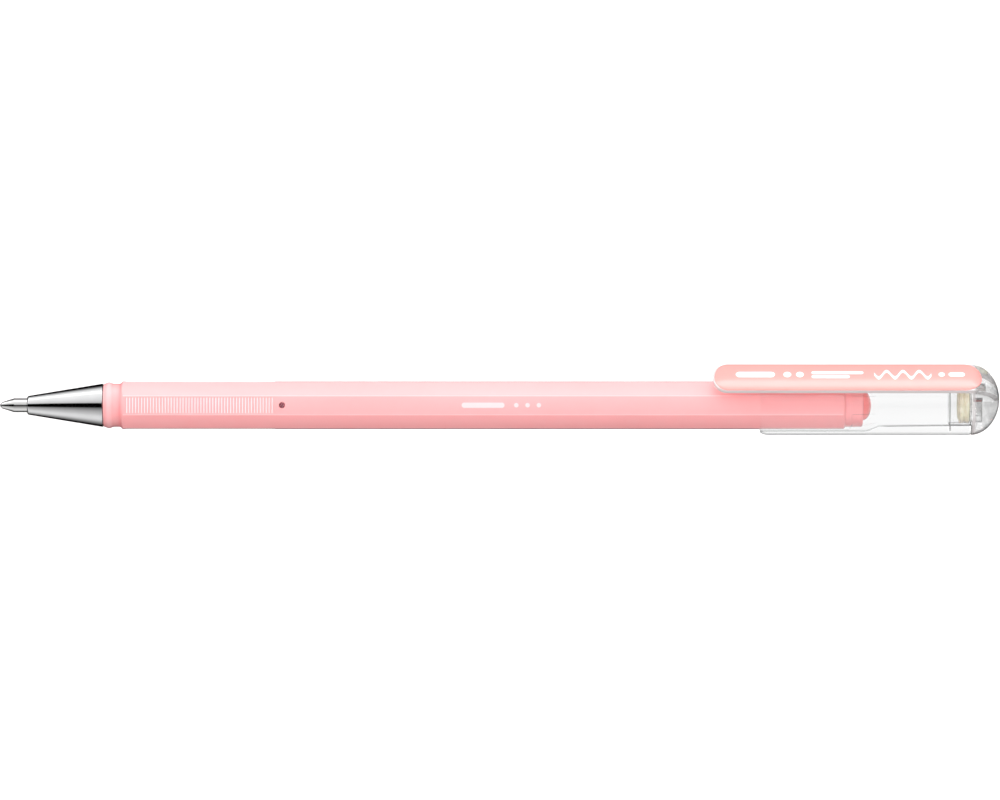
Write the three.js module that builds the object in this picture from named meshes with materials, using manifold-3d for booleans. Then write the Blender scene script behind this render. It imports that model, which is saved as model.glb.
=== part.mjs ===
// A capped gel pen with its cap posted on the tail.
// Frame: +X runs along the pen from the writing tip to the cap's crown, +Z is the side the clip is on.
// The origin is under the middle of the pen, level with the lowest line of the cap, so the pen's own axis is CAP_R above it.
// Stations (s) are millimetres from the front of the ball, along the axis.
import * as THREE from "three";
import { mergeVertices } from "three/addons/utils/BufferGeometryUtils.js";
import Module from "manifold-3d";

const wasm = await Module();
wasm.setup();

// ---------------------------------------------------------------- driving dimensions, mm
const LENGTH = 159.8; // ball to crown, cap posted
const ROUND = 32; // sides of a large turned shape
const INNER = 24; // sides of a turned piece inside the cap
const SMALL = 20; // sides of a small turned shape

const BARREL_FLATS = 7.62; // octagon, across flats
const BARREL_EDGE_R = 0.4; // rounding of the octagon's long edges
const BARREL_FRONT = 16.62;
const BARREL_REAR = 138.0;
const NECK_R = 3.44; // groove behind the snap bead
const BEAD_R = 3.67;
const SHOULDER = 19.3; // a cone runs from the neck up to the octagon
const DRAFT_FROM = 121; // the octagon tapers from here, where the posted cap slides on
const REAR_FLATS = 7.56;
const TAIL_NECK = [134.7, 135.25];
const TAIL_NECK_R = 3.45;
const THREAD_BORE_R = 3.0;
const THREAD_BORE_END = 21.6;
const BORE_R = 2.6;

const RIB_COUNT = 50; // grip ribs, flush with the facet, with a groove on each side
const RIB_FIRST = 20.45;
const RIB_PITCH = 0.4735;
const RIB_WIDTH = 0.2;
const GROOVE_DEPTH = 0.15;
const RIB_LENGTH = 2.48; // across the facet
const RIB_FACETS = [45, 135, 225, 315]; // angle of each ribbed facet from the clip

const VENT_S = 45.21;
const VENT_R = 0.4;
const VENT_SINK_R = 0.56;
const VENT_FACET = 45; // on the facet next to the clip's, towards -Y

const BALL_R = 0.4;
const TIP_R = 1.085;
const CONE_R = 3.44;
const REFILL_R = 2.3;
const REFILL_BORE_R = 1.8;
const REFILL_END = 126;
const INK_R = 1.74;
const INK = [21.75, 104];
const FOLLOWER = [104.15, 110.2];

const CAP_R = 4.75;
const CAP_MOUTH = 121.6;
const CAP_END = 155.2;
const CAP_BORE_R = 4.19; // clears the octagon's corners
const CAP_STEP = [138.4, 140.9]; // the wide bore narrows between these stations
const CAP_NARROW = [3.42, 3.3]; // narrow bore, front and rear
const CAP_RIB_R = 3.5; // inner radius of the grip ribs, round the tail neck
const CAP_RIB = [136.1, 140.9];
const CAP_RIB_ANGLES = [30, 60, 120, 150, 210, 240, 300, 330].map((a) => a + 45);

const SEAT = [151.75, 155.12]; // seal holder, the part inside the tube
const SEAT_R = 3.22;
const BOSS_R = 2.62;
const BOSS_END = 156.6;
const SEAL = [153.2, 154.95];
const SEAL_R = 2.8;

const CROWN_FRONT = 155.36;
const CROWN_C = [155.17, 1.25]; // centre that the dome shrinks to: station, height over the axis
const CROWN_A = 4.63; // dome length from that centre
const SOCKET_R = 2.74;
const SOCKET_END = 156.8;

const CLIP_HALF = 2.97;
const CLIP_Z = [5.58, 6.28]; // clear arm, underside and top, over the axis
const CLIP_FRONT = 113.91;
const CLIP_END_A = 2.3; // length of the rounded free end
const CLIP_ROOT = 153.6; // the arm ends here
const ROOT_FRONT = 153.85; // and the crown's root block starts here
const INLAY_HALF = 2.91;
const INLAY = [114.18, 156.82];
const INLAY_T = 0.38;
const INLAY_GAP = 0.03;
const INLAY_LIFT = 0.3; // room under the inlay's rear end, over the crown

// ---------------------------------------------------------------- helpers
const rad = (deg) => (deg * Math.PI) / 180;

function solid(geometry) {
  const g = geometry.clone();
  g.deleteAttribute("normal");
  if (g.getAttribute("uv")) g.deleteAttribute("uv");
  const m = mergeVertices(g, 1e-5);
  return new wasm.Manifold(
    new wasm.Mesh({
      numProp: 3,
      vertProperties: new Float32Array(m.attributes.position.array),
      triVerts: new Uint32Array(m.index.array),
    }),
  );
}

function geometryOf(manifold) {
  const m = manifold.getMesh();
  const position = new Float32Array(m.numVert * 3);
  for (let i = 0; i < m.numVert; i++)
    position.set(m.vertProperties.subarray(i * m.numProp, i * m.numProp + 3), i * 3);
  const g = new THREE.BufferGeometry();
  g.setAttribute("position", new THREE.BufferAttribute(position, 3));
  g.setIndex(new THREE.BufferAttribute(new Uint32Array(m.triVerts), 1));
  g.computeVertexNormals();
  return g;
}

// A turned shape round the X axis from a profile of [station, radius], closed on itself or on the axis.
function turned(profile, sides = ROUND) {
  const onAxis = profile[0][1] === 0;
  const pts = profile.map(([s, r]) => new THREE.Vector2(r, s));
  let area = 0;
  for (let i = 0; i < pts.length; i++) {
    const a = pts[i],
      b = pts[(i + 1) % pts.length];
    area += a.x * b.y - b.x * a.y;
  }
  if (area < 0) pts.reverse();
  if (!onAxis) pts.push(pts[0].clone());
  return new THREE.LatheGeometry(pts, sides).rotateZ(-Math.PI / 2);
}

const outline = (points) => new THREE.Shape(points.map(([a, b]) => new THREE.Vector2(a, b)));

// Extrusions of an outline: along X from (y, z), along Y from (x, z), along Z from (x, y).
function alongX(points, s0, s1) {
  const g = new THREE.ExtrudeGeometry(outline(points), { depth: s1 - s0, bevelEnabled: false });
  return g.applyMatrix4(
    new THREE.Matrix4().set(0, 0, 1, s0, 1, 0, 0, 0, 0, 1, 0, 0, 0, 0, 0, 1),
  );
}
function alongY(points, half) {
  const g = new THREE.ExtrudeGeometry(outline(points), { depth: 2 * half, bevelEnabled: false });
  return g.applyMatrix4(
    new THREE.Matrix4().set(1, 0, 0, 0, 0, 0, -1, half, 0, 1, 0, 0, 0, 0, 0, 1),
  );
}
function alongZ(points, z0, z1) {
  return new THREE.ExtrudeGeometry(outline(points), { depth: z1 - z0, bevelEnabled: false }).translate(0, 0, z0);
}

// ---------------------------------------------------------------- outlines
// Octagon with flats at every 45 degrees and rounded corners, as (y, z).
function octagon(flats, edge) {
  const pts = [];
  const inner = flats / 2 - edge;
  const rc = inner / Math.cos(rad(22.5));
  for (let i = 0; i < 8; i++) {
    const a = 22.5 + 45 * i;
    const cy = rc * Math.cos(rad(a)),
      cz = rc * Math.sin(rad(a));
    for (const d of [-22.5, 0, 22.5])
      pts.push([cy + edge * Math.cos(rad(a + d)), cz + edge * Math.sin(rad(a + d))]);
  }
  return pts;
}

// Long pill seen from above, as (x, y): a half ellipse at the front and, if rearA is given, one at the rear.
function pill(front, frontA, rear, rearA, half, steps = 10) {
  const pts = [];
  for (let i = 0; i <= steps; i++) {
    const t = rad(90 + (180 * i) / steps);
    pts.push([front + frontA + frontA * Math.cos(t), half * Math.sin(t)]);
  }
  if (rearA)
    for (let i = 0; i <= steps; i++) {
      const t = rad(-90 + (180 * i) / steps);
      pts.push([rear - rearA + rearA * Math.cos(t), half * Math.sin(t)]);
    }
  else pts.push([rear, -half], [rear, half]);
  return pts;
}

// Height over the axis of the crown's top line at a station.
function crownTop(s) {
  const t = Math.max(0, (s - CROWN_C[0]) / CROWN_A);
  return CROWN_C[1] + (CLIP_Z[1] - CROWN_C[1]) * Math.sqrt(Math.max(0, 1 - t * t));
}

// ---------------------------------------------------------------- writing end
function ball() {
  return new THREE.SphereGeometry(BALL_R, 12, 8).rotateZ(-Math.PI / 2).translate(BALL_R, 0, 0);
}

function tipPoint() {
  return turned(
    [
      [0.28, 0.396],
      [0.31, 0.44],
      [0.38, 0.455],
      [2.27, TIP_R],
      [10.0, TIP_R],
      [10.0, 0.55],
      [2.6, 0.55],
      [2.2, 0.25],
      [0.86, 0.25],
      [0.64, 0.42],
      [0.42, 0.42],
    ],
    SMALL,
  );
}

function tipHolder() {
  return turned(
    [
      [7.9, 1.12],
      [7.9, 1.25],
      [8.15, 1.44],
      [14.3, 1.56],
      [15.0, REFILL_R],
      [16.0, REFILL_R],
      [16.0, 1.73],
      [21.3, 1.7],
      [21.6, 1.5],
      [21.6, 0.7],
      [10.1, 0.7],
      [10.1, 1.12],
    ],
    SMALL,
  );
}

function refillTube() {
  return turned(
    [
      [16.12, REFILL_BORE_R],
      [16.12, REFILL_R],
      [REFILL_END, REFILL_R],
      [REFILL_END, REFILL_BORE_R],
    ],
    SMALL,
  );
}

function inkColumn() {
  return turned(
    [
      [INK[0], 0],
      [INK[0], INK_R],
      [INK[1] + 0.1, INK_R],
      [INK[1] - 0.5, INK_R * 0.6],
      [INK[1] - 0.8, 0],
    ],
    SMALL,
  );
}

function inkFollower() {
  return turned(
    [
      [FOLLOWER[0] - 0.75, 0],
      [FOLLOWER[0] - 0.4, INK_R * 0.6],
      [FOLLOWER[0] + 0.15, INK_R],
      [FOLLOWER[1], INK_R],
      [FOLLOWER[1] - 0.7, INK_R * 0.6],
      [FOLLOWER[1] - 0.95, 0],
    ],
    SMALL,
  );
}

// Metal cone with a threaded spigot. The thread is a row of ring ridges.
function noseCone() {
  const outer = [
    [4.37, 1.15],
    [4.37, 1.25],
    [4.56, 1.49],
    [16.4, CONE_R],
    [16.5, CONE_R - 0.05],
    [16.5, 2.7],
  ];
  for (let i = 0; i < 5; i++) {
    const s = 16.95 + i * 0.82;
    outer.push([s, 2.7], [s + 0.3, 2.9], [s + 0.6, 2.7]);
  }
  outer.push([21.2, 2.7], [21.2, 2.42], [14.9, 2.42], [14.35, 1.76], [7.75, 1.56], [7.45, 1.15]);
  return turned(outer, ROUND);
}

// ---------------------------------------------------------------- barrel
// The octagonal stretch of the barrel, lofted through three sections.
function octagonBar() {
  const rings = [
    [SHOULDER - 0.1, BARREL_FLATS],
    [DRAFT_FROM, BARREL_FLATS],
    [TAIL_NECK[1] + 0.1, REAR_FLATS],
  ];
  const position = [];
  for (const [s, flats] of rings) for (const [y, z] of octagon(flats, BARREL_EDGE_R)) position.push(s, y, z);
  const n = position.length / 3 / rings.length;
  const index = [];
  for (let k = 0; k < rings.length - 1; k++)
    for (let i = 0; i < n; i++) {
      const j = (i + 1) % n,
        p = k * n + i,
        q = k * n + j;
      index.push(p, q, p + n, q, q + n, p + n);
    }
  const last = (rings.length - 1) * n;
  for (let i = 1; i < n - 1; i++) {
    index.push(0, i + 1, i);
    index.push(last, last + i, last + i + 1);
  }
  const g = new THREE.BufferGeometry();
  g.setAttribute("position", new THREE.Float32BufferAttribute(position, 3));
  g.setIndex(index);
  return g;
}

function barrel() {
  const half = BARREL_FLATS / 2;
  const reach = 4.4;
  const prism = solid(octagonBar());
  const envelope = solid(
    turned([
      [SHOULDER - 0.1, 0],
      [SHOULDER - 0.1, NECK_R - 0.04],
      [SHOULDER, NECK_R],
      [SHOULDER + (reach - NECK_R) * 1.0, reach],
      [TAIL_NECK[0] - 0.35, reach],
      [TAIL_NECK[1], TAIL_NECK_R],
      [TAIL_NECK[1] + 0.1, TAIL_NECK_R],
      [TAIL_NECK[1] + 0.1, 0],
    ], 48),
  );
  const body = prism.intersect(envelope);
  const front = solid(
    turned([
      [BARREL_FRONT, 0],
      [BARREL_FRONT, 3.36],
      [16.85, 3.54],
      [17.4, BEAD_R],
      [17.95, 3.52],
      [18.25, NECK_R],
      [SHOULDER + 0.02, NECK_R],
      [SHOULDER + 0.1, NECK_R - 0.2],
      [SHOULDER + 0.1, 0],
    ]),
  );
  const rear = solid(
    turned([
      [TAIL_NECK[0], 0],
      [TAIL_NECK[0], TAIL_NECK_R - 0.1],
      [TAIL_NECK[1] - 0.1, TAIL_NECK_R],
      [BARREL_REAR - 0.45, TAIL_NECK_R - 0.04],
      [BARREL_REAR, TAIL_NECK_R - 0.5],
      [BARREL_REAR, 0],
    ]),
  );
  let made = body.add(front).add(rear);

  // Grip ribs: a row of V grooves across each ribbed facet leaves the ribs between them.
  const grooves = [[RIB_FIRST - RIB_PITCH, half + 0.2]];
  for (let i = 0; i <= RIB_COUNT; i++) {
    const s = RIB_FIRST + (i - 0.5) * RIB_PITCH,
      w = (RIB_PITCH - RIB_WIDTH) / 2;
    grooves.push([s - w, half + 0.02], [s - w, half], [s, half - GROOVE_DEPTH], [s + w, half], [s + w, half + 0.02]);
  }
  grooves.push([RIB_FIRST + RIB_COUNT * RIB_PITCH, half + 0.2]);
  for (const a of RIB_FACETS) made = made.subtract(solid(alongY(grooves, RIB_LENGTH / 2).rotateX(rad(a))));

  // Bore: threaded mouth, then a plain bore to the tail.
  made = made.subtract(
    solid(
      turned([
        [BARREL_FRONT - 1, 0],
        [BARREL_FRONT - 1, THREAD_BORE_R],
        [THREAD_BORE_END, THREAD_BORE_R],
        [THREAD_BORE_END + 0.4, BORE_R],
        [BARREL_REAR + 1, BORE_R],
        [BARREL_REAR + 1, 0],
      ]),
    ),
  );

  // Vent hole with a countersink, square to its facet.
  const hole = new THREE.LatheGeometry(
    [
      new THREE.Vector2(0, 1.5),
      new THREE.Vector2(VENT_R, 1.5),
      new THREE.Vector2(VENT_R, half - (VENT_SINK_R - VENT_R)),
      new THREE.Vector2(VENT_SINK_R + 0.1, half + 0.1),
      new THREE.Vector2(0, half + 0.1),
    ],
    16,
  );
  hole.rotateX(Math.PI / 2); // its axis now runs along +Z
  hole.rotateX(rad(VENT_FACET)).translate(VENT_S, 0, 0);
  return geometryOf(made.subtract(solid(hole)));
}

function tailPlug() {
  const dome = [];
  for (let i = 0; i <= 6; i++) {
    const t = rad(90 * (1 - i / 6));
    dome.push([BARREL_REAR + 0.02 + 1.36 * Math.cos(t), 2.36 * Math.sin(t)]);
  }
  dome[dome.length - 1][1] = 0;
  return turned(
    [
      [137.0, 0],
      [136.6, 1.9],
      [133.6, 1.9],
      [133.6, 2.35],
      [133.9, 2.52],
      [BARREL_REAR - 0.1, 2.52],
      ...dome,
    ],
    INNER,
  );
}

// ---------------------------------------------------------------- cap
function capTube() {
  let made = solid(
    turned([
      [CAP_MOUTH, CAP_BORE_R + 0.02],
      [CAP_MOUTH, 4.32],
      [CAP_MOUTH + 0.3, 4.52],
      [CAP_MOUTH + 0.95, CAP_R],
      [CAP_END, CAP_R],
      [CAP_END, CAP_NARROW[1]],
      [SEAT[0] - 0.1, CAP_NARROW[1]],
      [CAP_STEP[1], CAP_NARROW[0]],
      [CAP_STEP[0], CAP_BORE_R],
    ]),
  );
  // Grip ribs inside the wide bore. They hold the tail neck, and end where the bore has narrowed.
  for (const a of CAP_RIB_ANGLES) {
    const rib = alongX(
      [
        [-0.42, CAP_RIB_R],
        [0.42, CAP_RIB_R],
        [0.55, CAP_BORE_R + 0.15],
        [-0.55, CAP_BORE_R + 0.15],
      ],
      CAP_RIB[0],
      CAP_RIB[1],
    ).rotateX(rad(a));
    made = made.add(solid(rib));
  }
  return geometryOf(made);
}

// Clear cup pressed into the tube's rear. Its boss goes into the crown.
function sealHolder() {
  return turned(
    [
      [SEAT[0], SEAL_R + 0.08],
      [SEAT[0], SEAT_R - 0.12],
      [SEAT[0] + 0.12, SEAT_R],
      [SEAT[1], SEAT_R],
      [SEAT[1], BOSS_R],
      [BOSS_END, BOSS_R],
      [BOSS_END, 1.7],
      [155.55, 1.7],
      [155.55, 1.0],
      [SEAL[1] + 0.08, 1.0],
      [SEAL[1] + 0.08, SEAL_R + 0.08],
    ],
    INNER,
  );
}

// Elastomer plug that the ball presses on when the cap is on the writing end.
function tipSeal() {
  return turned(
    [
      [SEAL[0] + 0.8, 0],
      [SEAL[0] + 0.6, 0.45],
      [SEAL[0], 1.0],
      [SEAL[0], SEAL_R - 0.62],
      [SEAL[0] + 0.2, SEAL_R - 0.55],
      [SEAL[0] + 0.25, SEAL_R],
      [SEAL[0] + 0.82, SEAL_R],
      [SEAL[0] + 0.88, SEAL_R - 0.16],
      [SEAL[0] + 1.0, SEAL_R - 0.16],
      [SEAL[0] + 1.06, SEAL_R],
      [SEAL[1], SEAL_R],
      [SEAL[1], 0],
    ],
    INNER,
  );
}

// Crown: a dome whose section is the tube's circle joined to the clip's block.
function capCrown() {
  const [cs, cz] = CROWN_C;
  const section = [];
  const n = 40;
  for (let i = 0; i < n; i++) {
    // Distance from the centre to the outline of the circle and the block, whichever is further.
    const a = rad((360 * i) / n);
    const dy = Math.sin(a),
      dz = Math.cos(a);
    const b = cz * dz;
    const circle = -b + Math.sqrt(b * b - cz * cz + CAP_R * CAP_R);
    let block = 0;
    if (dz > 0) {
      const toTop = (CLIP_Z[1] - cz) / dz;
      const toSide = CLIP_HALF / Math.max(1e-6, Math.abs(dy));
      block = Math.min(toTop, toSide);
    }
    const rho = Math.max(circle, block);
    section.push([rho * dy, rho * dz]);
  }
  const rings = 8;
  const position = [];
  const index = [];
  const t0 = Math.asin((CROWN_FRONT - cs) / CROWN_A);
  for (let k = 0; k < rings; k++) {
    const t = t0 + (Math.PI / 2 - t0) * (k / rings);
    const s = cs + CROWN_A * Math.sin(t),
      f = Math.cos(t);
    for (const [y, z] of section) position.push(s, y * f, cz + z * f);
  }
  const tip = position.length / 3;
  position.push(cs + CROWN_A, 0, cz);
  const foot = tip + 1;
  position.push(CROWN_FRONT, 0, cz);
  for (let k = 0; k < rings - 1; k++)
    for (let i = 0; i < n; i++) {
      const j = (i + 1) % n,
        a = k * n + i,
        b = k * n + j,
        c = a + n,
        d = b + n;
      index.push(a, c, b, b, c, d);
    }
  for (let i = 0; i < n; i++) {
    const j = (i + 1) % n;
    index.push((rings - 1) * n + i, tip, (rings - 1) * n + j);
    index.push(i, j, foot);
  }
  const g = new THREE.BufferGeometry();
  g.setAttribute("position", new THREE.Float32BufferAttribute(position, 3));
  g.setIndex(index);
  let dome = solid(g);
  if (dome.volume() < 0) {
    for (let i = 0; i < index.length; i += 3) [index[i + 1], index[i + 2]] = [index[i + 2], index[i + 1]];
    g.setIndex(index);
    dome = solid(g);
  }

  // Root block that reaches over the tube's end and meets the clip's arm.
  const root = solid(
    alongX(
      [
        [-CLIP_HALF, CAP_R + 0.2],
        [CLIP_HALF, CAP_R + 0.2],
        [CLIP_HALF, CLIP_Z[1]],
        [-CLIP_HALF, CLIP_Z[1]],
      ],
      ROOT_FRONT,
      CROWN_FRONT + 0.3,
    ),
  );
  const socket = solid(
    turned([
      [CROWN_FRONT - 0.5, 0],
      [CROWN_FRONT - 0.5, SOCKET_R],
      [SOCKET_END, SOCKET_R],
      [SOCKET_END, 0],
    ]),
  );
  // Seat for the inlay's rear end, with room for it to dip as the arm lifts.
  const seat = solid(
    alongZ(pill(INLAY[0] - 1, 1, INLAY[1] + 0.18, 2.9, INLAY_HALF + 0.3, 12), 4, 8),
  ).intersect(solid(alongY(inlaySide(INLAY_LIFT, 2), 4)));
  return geometryOf(dome.add(root).subtract(socket).subtract(seat));
}

// Side outline, as (x, z), of a layer on top of the arm and the crown: from `below` under the inlay's seat to `above` over it.
function inlaySide(below, above) {
  const stations = [INLAY[0] - 0.5, 153, 153.8, 154.4, 155.17, 155.6, 156.0, 156.4, 156.8, 157.2];
  const low = stations.map((s) => [s, crownTop(s) - below]);
  const high = stations.map((s) => [s, crownTop(s) + above]).reverse();
  return [...low, ...high];
}

function clipArm() {
  let made = solid(alongZ(pill(CLIP_FRONT, CLIP_END_A, CLIP_ROOT, 0, CLIP_HALF, 14), CLIP_Z[0], CLIP_Z[1]));
  // Bead under the free end that pinches the pocket's edge.
  const bead = alongY(
    [
      [115.6, CLIP_Z[0] + 0.1],
      [115.75, CLIP_Z[0] - 0.25],
      [116.1, CLIP_Z[0] - 0.5],
      [116.6, CLIP_Z[0] - 0.5],
      [117.1, CLIP_Z[0] - 0.3],
      [117.8, CLIP_Z[0] + 0.1],
    ],
    1.5,
  );
  return geometryOf(made.add(solid(bead)));
}

// Coloured plate laid over the arm and on to the crown.
function clipInlay() {
  const plan = solid(alongZ(pill(INLAY[0], 2.15, INLAY[1], 2.8, INLAY_HALF, 14), 4, 8));
  const side = solid(alongY(inlaySide(-INLAY_GAP, INLAY_T), 4));
  return geometryOf(plan.intersect(side));
}

// ---------------------------------------------------------------- assembly
const colour = {
  barrel: new THREE.MeshStandardMaterial({ color: 0xfcc6c8, roughness: 0.3, metalness: 0 }),
  plug: new THREE.MeshStandardMaterial({ color: 0xfba9a8, roughness: 0.32, metalness: 0 }),
  clear: new THREE.MeshStandardMaterial({ color: 0xf3f5f5, roughness: 0.06, metalness: 0, transparent: true, opacity: 0.3 }),
  inlay: new THREE.MeshStandardMaterial({ color: 0xfec2ba, roughness: 0.28, metalness: 0 }),
  chrome: new THREE.MeshStandardMaterial({ color: 0xd9dadb, roughness: 0.12, metalness: 1 }),
  steel: new THREE.MeshStandardMaterial({ color: 0xc9c8c4, roughness: 0.2, metalness: 1 }),
  carbide: new THREE.MeshStandardMaterial({ color: 0x8f9194, roughness: 0.1, metalness: 1 }),
  seal: new THREE.MeshStandardMaterial({ color: 0xdccfb6, roughness: 0.6, metalness: 0 }),
  refill: new THREE.MeshStandardMaterial({ color: 0xf2eeee, roughness: 0.35, metalness: 0, transparent: true, opacity: 0.6 }),
  holder: new THREE.MeshStandardMaterial({ color: 0xf4efe8, roughness: 0.4, metalness: 0 }),
  ink: new THREE.MeshStandardMaterial({ color: 0xf2a3aa, roughness: 0.25, metalness: 0 }),
  grease: new THREE.MeshStandardMaterial({ color: 0xf5ecd9, roughness: 0.25, metalness: 0 }),
};

function mesh(name, geometry, material) {
  const m = new THREE.Mesh(geometry, material);
  m.name = name;
  return m;
}

const refill = new THREE.Group();
refill.add(
  mesh("ball", ball(), colour.carbide),
  mesh("tip_point", tipPoint(), colour.steel),
  mesh("tip_holder", tipHolder(), colour.holder),
  mesh("refill_tube", refillTube(), colour.refill),
  mesh("ink_column", inkColumn(), colour.ink),
  mesh("ink_follower", inkFollower(), colour.grease),
);

const body = new THREE.Group();
body.add(
  mesh("nose_cone", noseCone(), colour.chrome),
  mesh("barrel", barrel(), colour.barrel),
  mesh("tail_plug", tailPlug(), colour.plug),
);

const cap = new THREE.Group();
cap.add(
  mesh("cap_tube", capTube(), colour.clear),
  mesh("seal_holder", sealHolder(), colour.clear),
  mesh("tip_seal", tipSeal(), colour.seal),
  mesh("cap_crown", capCrown(), colour.clear),
  mesh("clip_arm", clipArm(), colour.clear),
  mesh("clip_inlay", clipInlay(), colour.inlay),
);

const pen = new THREE.Group();
pen.add(refill, body, cap);
pen.position.set(-LENGTH / 2, 0, CAP_R);

export default pen;
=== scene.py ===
import math

import bmesh
import bpy
import numpy as np
from mathutils import Matrix, Vector
from mathutils.geometry import tessellate_polygon


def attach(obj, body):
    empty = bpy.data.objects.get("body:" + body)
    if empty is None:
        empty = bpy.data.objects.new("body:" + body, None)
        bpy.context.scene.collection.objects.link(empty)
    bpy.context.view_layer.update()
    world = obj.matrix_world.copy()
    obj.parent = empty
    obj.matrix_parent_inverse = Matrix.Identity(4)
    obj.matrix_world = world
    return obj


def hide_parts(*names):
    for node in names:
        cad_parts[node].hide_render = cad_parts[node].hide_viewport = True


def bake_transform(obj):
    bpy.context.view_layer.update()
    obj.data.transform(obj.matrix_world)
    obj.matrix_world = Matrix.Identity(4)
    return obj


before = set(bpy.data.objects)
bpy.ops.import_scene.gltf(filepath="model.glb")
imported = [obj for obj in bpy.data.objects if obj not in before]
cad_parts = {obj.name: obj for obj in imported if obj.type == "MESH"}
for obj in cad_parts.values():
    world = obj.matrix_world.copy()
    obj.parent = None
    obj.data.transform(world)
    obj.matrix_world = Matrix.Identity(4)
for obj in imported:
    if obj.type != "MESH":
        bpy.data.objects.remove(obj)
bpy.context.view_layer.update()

# ------------------------------------------------------------------ frame
# Lengths below are millimetres: s along the pen from the ball, y across, h above the pen's axis.
MID_S = 79.9
AXIS_H = 4.75


def place(p):
    return ((p[0] - MID_S) / 1000, p[1] / 1000, (p[2] + AXIS_H) / 1000)


# ------------------------------------------------------------------ mesh helpers
def build(name, verts, faces, body, material, slot, replaces=(), sharp=38, attributes=None):
    me = bpy.data.meshes.new(name)
    me.from_pydata([place(v) for v in verts], [], faces)
    me.validate()
    ob = bpy.data.objects.new(name, me)
    bpy.context.scene.collection.objects.link(ob)
    for key, values in (attributes or {}).items():
        at = me.attributes.new(key, "FLOAT", "POINT")
        at.data.foreach_set("value", np.asarray(values, dtype=np.float32))
    tidy(ob, sharp)
    keep_rest(me)
    me.materials.append(material)
    if slot in ("clear_plastic", "refill_plastic"):
        ob.visible_diffuse = False  # clear parts don't dim what is inside them
    if replaces:
        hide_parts(*replaces)
    if isinstance(body, str):
        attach(ob, body)
    else:
        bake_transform(ob)
    return ob


def keep_rest(me):
    """Store each vertex's place at rest for the materials to read."""
    old = me.attributes.get("rest")
    if old:
        me.attributes.remove(old)
    co = np.empty(len(me.vertices) * 3, dtype=np.float32)
    me.vertices.foreach_get("co", co)
    me.attributes.new("rest", "FLOAT_VECTOR", "POINT").data.foreach_set("vector", co)


def tidy(ob, sharp):
    """Outward normals, smooth faces, and edges sharper than the angle left crisp."""
    me = ob.data
    bm = bmesh.new()
    bm.from_mesh(me)
    bmesh.ops.remove_doubles(bm, verts=bm.verts, dist=2e-7)
    bmesh.ops.dissolve_degenerate(bm, dist=1e-7, edges=bm.edges)
    bmesh.ops.recalc_face_normals(bm, faces=bm.faces)
    limit = math.radians(sharp)
    for f in bm.faces:
        f.smooth = True
    for e in bm.edges:
        if len(e.link_faces) == 2:
            e.smooth = e.calc_face_angle(0) < limit
    bm.to_mesh(me)
    bm.free()


def rounded(profile, steps=4):
    """Closed profile of (s, r[, fillet]) with each corner rounded by its fillet."""
    n = len(profile)
    out = []
    for i, p in enumerate(profile):
        b = np.array(p[:2], float)
        f = p[2] if len(p) > 2 else 0.0
        if f <= 0:
            out.append(tuple(b))
            continue
        a = np.array(profile[i - 1][:2], float)
        c = np.array(profile[(i + 1) % n][:2], float)
        la, lc = np.linalg.norm(a - b), np.linalg.norm(c - b)
        d = min(f, 0.48 * la, 0.48 * lc)
        p0, p1 = b + (a - b) / la * d, b + (c - b) / lc * d
        for k in range(steps + 1):
            t = k / steps
            out.append(tuple((1 - t) ** 2 * p0 + 2 * t * (1 - t) * b + t * t * p1))
    return out


def lathe(profile, n=96):
    """Turned closed shape from a profile; it closes on itself, or runs from axis to axis."""
    verts, faces, rings = [], [], []
    for s, r in profile:
        if r < 1e-6:
            rings.append([len(verts)])
            verts.append((s, 0.0, 0.0))
        else:
            rings.append(list(range(len(verts), len(verts) + n)))
            for j in range(n):
                a = 2 * math.pi * j / n
                verts.append((s, r * math.sin(a), r * math.cos(a)))
    m = len(rings)
    for i in range(m):
        a, b = rings[i], rings[(i + 1) % m]
        if len(a) == 1 and len(b) == 1:
            continue
        for j in range(n):
            k = (j + 1) % n
            if len(a) == 1:
                faces.append((a[0], b[j], b[k]))
            elif len(b) == 1:
                faces.append((a[j], b[0], a[k]))
            else:
                faces.append((a[j], b[j], b[k], a[k]))
    return verts, faces


def grid_tube(rings):
    """Closed surface from a cyclic list of rings that all have the same number of points."""
    n = len(rings[0])
    verts = [tuple(p) for ring in rings for p in ring]
    faces = []
    m = len(rings)
    for i in range(m):
        a, b = i * n, ((i + 1) % m) * n
        for j in range(n):
            k = (j + 1) % n
            faces.append((a + j, b + j, b + k, a + k))
    return verts, faces


def smooth01(x):
    x = min(1.0, max(0.0, x))
    return x * x * (3 - 2 * x)


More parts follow.
